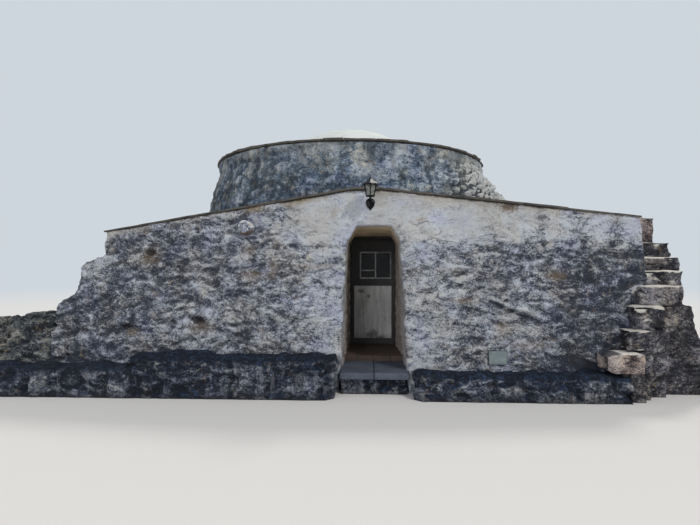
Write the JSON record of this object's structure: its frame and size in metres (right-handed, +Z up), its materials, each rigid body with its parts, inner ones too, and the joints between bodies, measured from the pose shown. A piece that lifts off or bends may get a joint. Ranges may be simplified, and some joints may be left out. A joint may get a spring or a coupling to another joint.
{
  "type": "trullo house",
  "caption": "Low stone house with leaning rubble walls, a round upper tier with a shallow dome over one vaulted room, an octagonal doorway, benches, a side stair and a wall lantern.",
  "frame": {"origin": "on the ground, on the middle line of the doorway, level with the middle of the room", "axes": "+Z up, +X to the right of someone facing the doorway, -Y out of the doorway"},
  "size_m": [10.59, 8.08, 4.62],
  "materials": {
    "limewash": "worn limewash on rough rubble",
    "rubble": "grey weathered limestone rubble",
    "bench_stone": "dark lichened boulders",
    "coping_stone": "thin dark weathered slabs",
    "dome_plaster": "smooth cream lime plaster",
    "roof_stone": "pale roof paving",
    "floor_stone": "worn brown floor stone",
    "sill_stone": "smooth grey stone slabs",
    "dark_metal": "dark paint, weathered",
    "grey_metal": "grey paint, weathered",
    "sheet_metal": "pale grey sheet with streaks",
    "lantern_metal": "black",
    "glass": "clear, dusty",
    "lantern_glass": "clear",
    "cover_plastic": "grey green, dusty"
  },
  "bodies": {
    "house": {"front_wall_left": "limewash", "front_wall_right": "limewash", "front_wall_over_door": "limewash", "left_wall": "rubble", "right_wall": "rubble", "back_wall": "rubble", "left_buttress": "rubble", "garden_wall": "rubble", "bench_left": "bench_stone", "bench_right": "bench_stone", "stair_base": "rubble", "step_1": "rubble", "step_2": "rubble", "step_3": "rubble", "step_4": "rubble", "step_5": "rubble", "step_6": "rubble", "step_7": "rubble", "step_8": "rubble", "roof_paving": "roof_stone", "front_coping": "coping_stone", "drum_front": "limewash", "drum_right": "limewash", "drum_back": "limewash", "drum_left": "limewash", "drum_coping": "coping_stone", "dome_front": "dome_plaster", "dome_back": "dome_plaster", "capstone": "rubble", "room_floor": "floor_stone", "passage_floor": "floor_stone", "threshold_slabs": "sill_stone", "inner_lintel": "rubble", "jutting_stone": "limewash", "utility_cover": "cover_plastic", "door_frame": "dark_metal", "lantern_bracket": "lantern_metal", "lantern_cage": "lantern_metal", "lantern_glass": "lantern_glass"},
    "door": {"door_leaf": "dark_metal", "door_sheet": "sheet_metal", "door_glass": "glass", "glazing_bars": "grey_metal", "door_latch": "dark_metal"}
  },
  "joints": [
    {"name": "door_hinge", "type": "hinge", "parent": "house", "child": "door", "pos_m": [-0.373, -2.127, 0.4], "axis": [0, 0, 1], "range_deg": [0, 95]}
  ]
}
